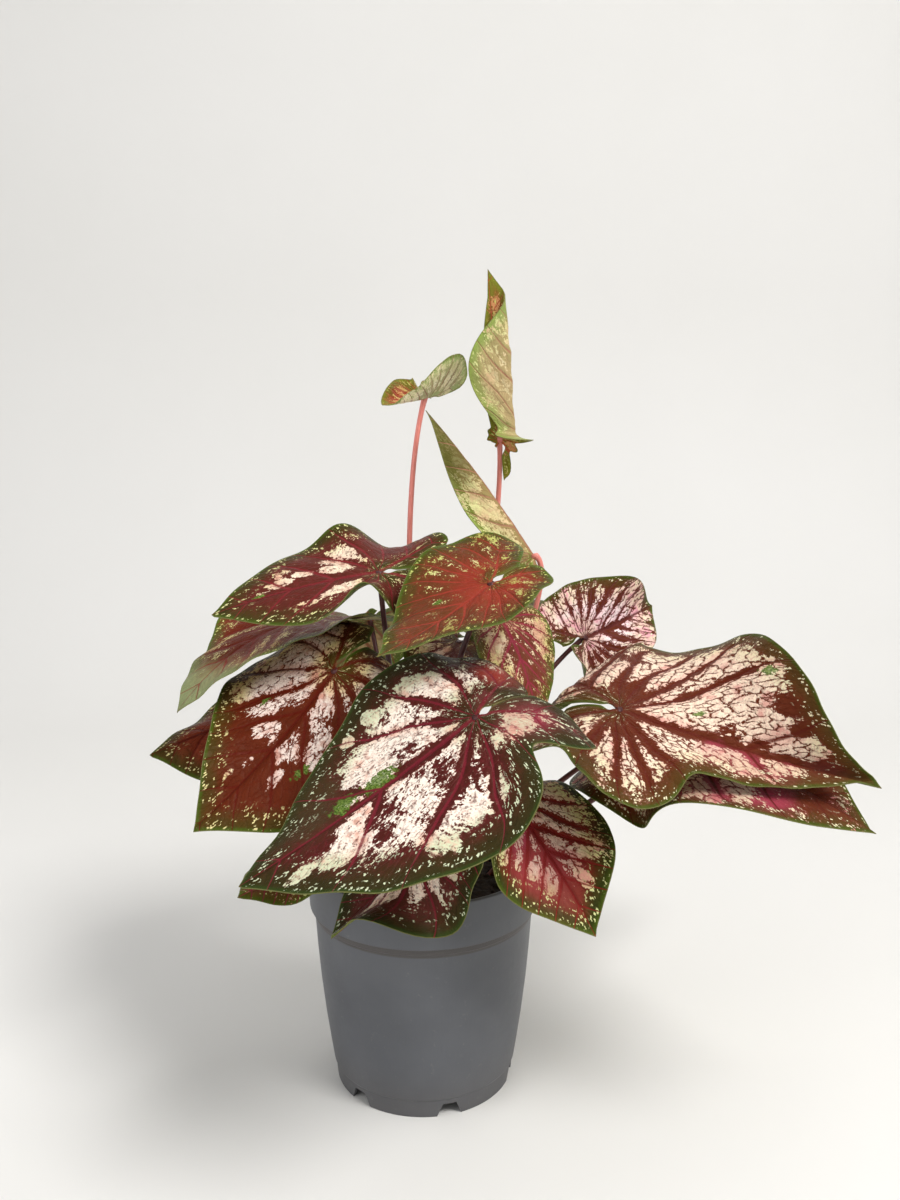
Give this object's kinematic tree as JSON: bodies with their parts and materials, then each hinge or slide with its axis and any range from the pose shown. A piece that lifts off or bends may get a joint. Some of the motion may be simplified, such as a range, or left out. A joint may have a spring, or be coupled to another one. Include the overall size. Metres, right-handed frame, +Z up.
{
  "type": "potted caladium",
  "caption": "Potted caladium: heart-shaped patterned leaves on long petioles, standing in the soil of a round plastic nursery pot",
  "frame": {"origin": "middle of the pot's flat underside", "axes": "+Z up along the pot's axis; the pictured side faces -Y"},
  "size_m": [0.351, 0.3078, 0.4211],
  "materials": {
    "pot_plastic": "satin blue-grey moulded plastic",
    "potting_soil": "dark moist peat crumbs",
    "petiole_dark": "smooth dark red-brown stalk",
    "petiole_pink": "smooth pink young stalk",
    "leaf_maroon": "matt leaf, maroon ground with cream blotches and a green margin",
    "leaf_brown": "matt leaf, red-brown veins between cream and pink cells",
    "leaf_red": "matt leaf, red-orange with fine specks",
    "leaf_olive": "matt leaf, olive green with magenta veins",
    "leaf_young": "young leaf, pale grey-green underside"
  },
  "bodies": {
    "root": {"pot": "pot_plastic", "soil": "potting_soil", "petiole_front_large": "petiole_dark", "blade_front_large": "leaf_maroon", "petiole_right_large": "petiole_dark", "blade_right_large": "leaf_brown", "petiole_right_under": "petiole_dark", "blade_right_under": "leaf_brown", "petiole_left_large": "petiole_dark", "blade_left_large": "leaf_brown", "petiole_left_far": "petiole_dark", "blade_left_far": "leaf_brown", "petiole_left_top": "petiole_dark", "blade_left_top": "leaf_maroon", "petiole_left_hanging": "petiole_dark", "blade_left_hanging": "leaf_olive", "petiole_middle_red": "petiole_dark", "blade_middle_red": "leaf_red", "petiole_middle_olive": "petiole_dark", "blade_middle_olive": "leaf_olive", "petiole_middle_low": "petiole_dark", "blade_middle_low": "leaf_brown", "petiole_right_cupped": "petiole_dark", "blade_right_cupped": "leaf_brown", "petiole_front_right": "petiole_dark", "blade_front_right": "leaf_brown", "petiole_left_old": "petiole_dark", "blade_left_old": "leaf_olive", "petiole_rim_front": "petiole_dark", "blade_rim_front": "leaf_brown", "petiole_young_folded": "petiole_pink", "blade_young_folded": "leaf_young", "petiole_young_tall": "petiole_pink", "blade_young_tall": "leaf_young", "petiole_young_rolled": "petiole_pink", "blade_young_rolled": "leaf_young", "petiole_back_left": "petiole_dark", "blade_back_left": "leaf_maroon", "petiole_back_middle": "petiole_dark", "blade_back_middle": "leaf_brown", "petiole_back_right": "petiole_dark", "blade_back_right": "leaf_brown"}
  },
  "joints": []
}
